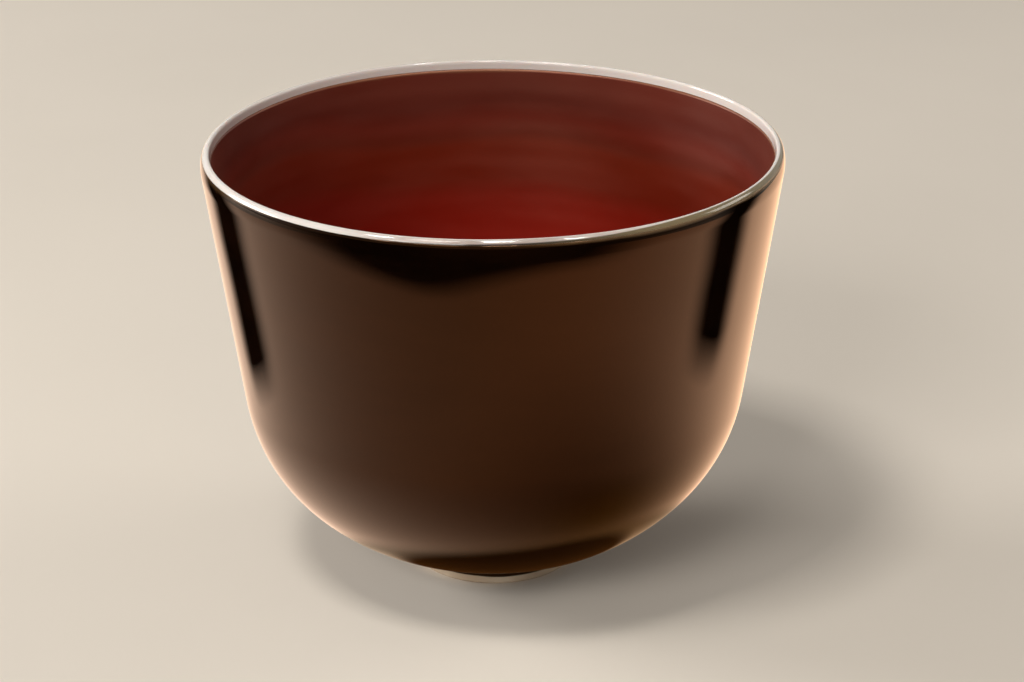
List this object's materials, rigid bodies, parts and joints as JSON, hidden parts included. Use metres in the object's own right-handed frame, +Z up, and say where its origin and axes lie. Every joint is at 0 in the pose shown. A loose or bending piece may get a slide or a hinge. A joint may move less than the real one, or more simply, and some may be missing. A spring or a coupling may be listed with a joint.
{
  "type": "glass bowl",
  "caption": "Deep round blown-glass bowl: glossy dark casing over a pale core and red lining, with an ivory wrapped lip and a small applied foot ring, for serving or display.",
  "frame": {"origin": "centre of the foot ring's flat ground face, on the surface the bowl stands on", "axes": "+Z up along the bowl's axis of revolution, +X and +Y in the plane of the foot"},
  "size_m": [0.2402, 0.2402, 0.186],
  "materials": {
    "dark_glass": "high gloss, almost opaque brown-black",
    "opal_glass": "milky, glossy",
    "red_glass": "soft gloss, deep red",
    "ivory_glass": "fire-polished, milky ivory",
    "tan_glass": "glossy side, ground flat underneath"
  },
  "bodies": {
    "root": {"outer_casing": "dark_glass", "opal_core": "opal_glass", "red_lining": "red_glass", "lip_wrap": "ivory_glass", "foot_ring": "tan_glass"}
  },
  "joints": []
}
